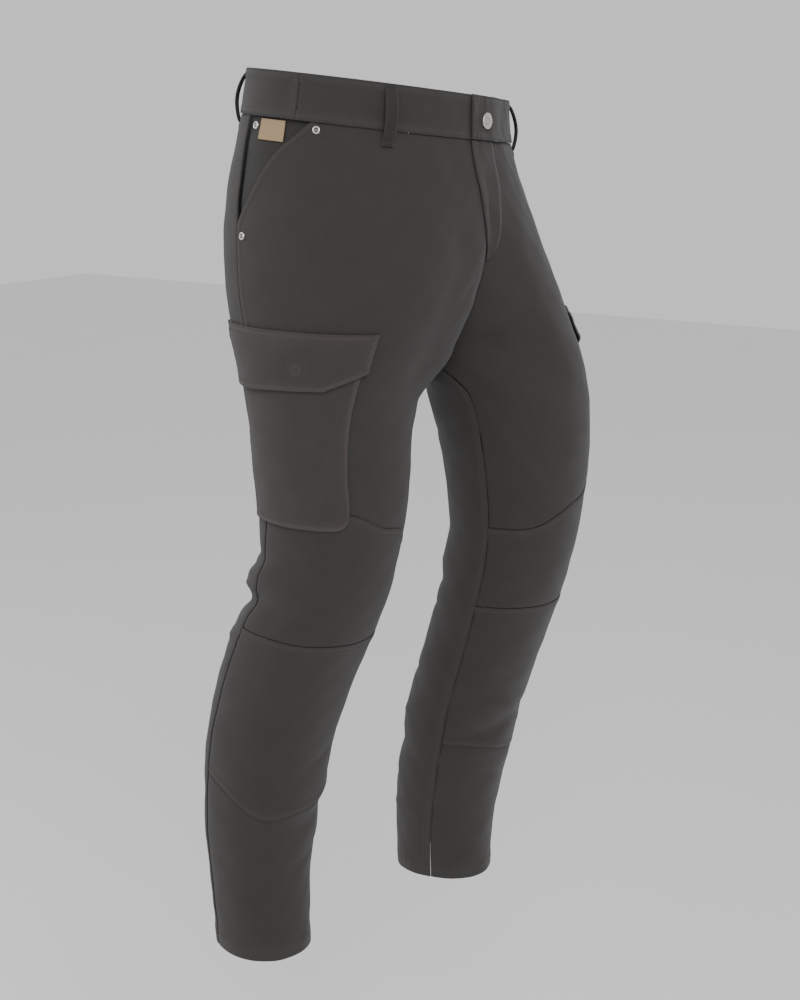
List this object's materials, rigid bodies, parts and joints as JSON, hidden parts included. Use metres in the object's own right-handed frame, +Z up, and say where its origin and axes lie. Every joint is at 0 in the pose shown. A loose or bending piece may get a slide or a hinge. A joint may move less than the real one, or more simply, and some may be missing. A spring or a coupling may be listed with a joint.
{
  "type": "motorcycle cargo trousers",
  "caption": "Hollow pair of motorcycle cargo trousers, filled out as worn: fly front, belt loops, slant hip pockets, flapped thigh pockets and panelled knees.",
  "frame": {"origin": "middle of the waist opening at the rim of the waistband, where the wearer's waist holds the trousers up", "axes": "+Z up; -Y the way the wearer faces; +X the wearer's left"},
  "size_m": [0.4094, 0.3492, 0.998],
  "materials": {
    "black_twill": "matt black cotton twill with a dry, slightly washed face",
    "dark_twill": "matt black cotton twill, a little darker",
    "steel": "brushed nickel-coloured metal",
    "patch": "plain grey woven patch with a tan upper band"
  },
  "bodies": {
    "root": {"back_left": "black_twill", "back_right": "black_twill", "belt_loop_1": "dark_twill", "belt_loop_2": "dark_twill", "belt_loop_3": "dark_twill", "belt_loop_4": "dark_twill", "belt_loop_5": "dark_twill", "button": "steel", "cargo_flap_left": "black_twill", "cargo_flap_right": "black_twill", "cargo_pocket_left": "black_twill", "cargo_pocket_right": "black_twill", "fly_placket": "black_twill", "front_left": "black_twill", "front_right": "black_twill", "knee_lower_left": "black_twill", "knee_lower_right": "black_twill", "knee_upper_left": "black_twill", "knee_upper_right": "black_twill", "label_patch": "patch", "pocket_facing_left": "dark_twill", "pocket_facing_right": "dark_twill", "rivet_foot_left": "steel", "rivet_foot_right": "steel", "rivet_top_front_left": "steel", "rivet_top_front_right": "steel", "rivet_top_side_left": "steel", "rivet_top_side_right": "steel", "shin_left": "black_twill", "shin_right": "black_twill", "waistband_back": "black_twill", "waistband_left": "black_twill", "waistband_right": "black_twill"}
  },
  "joints": []
}
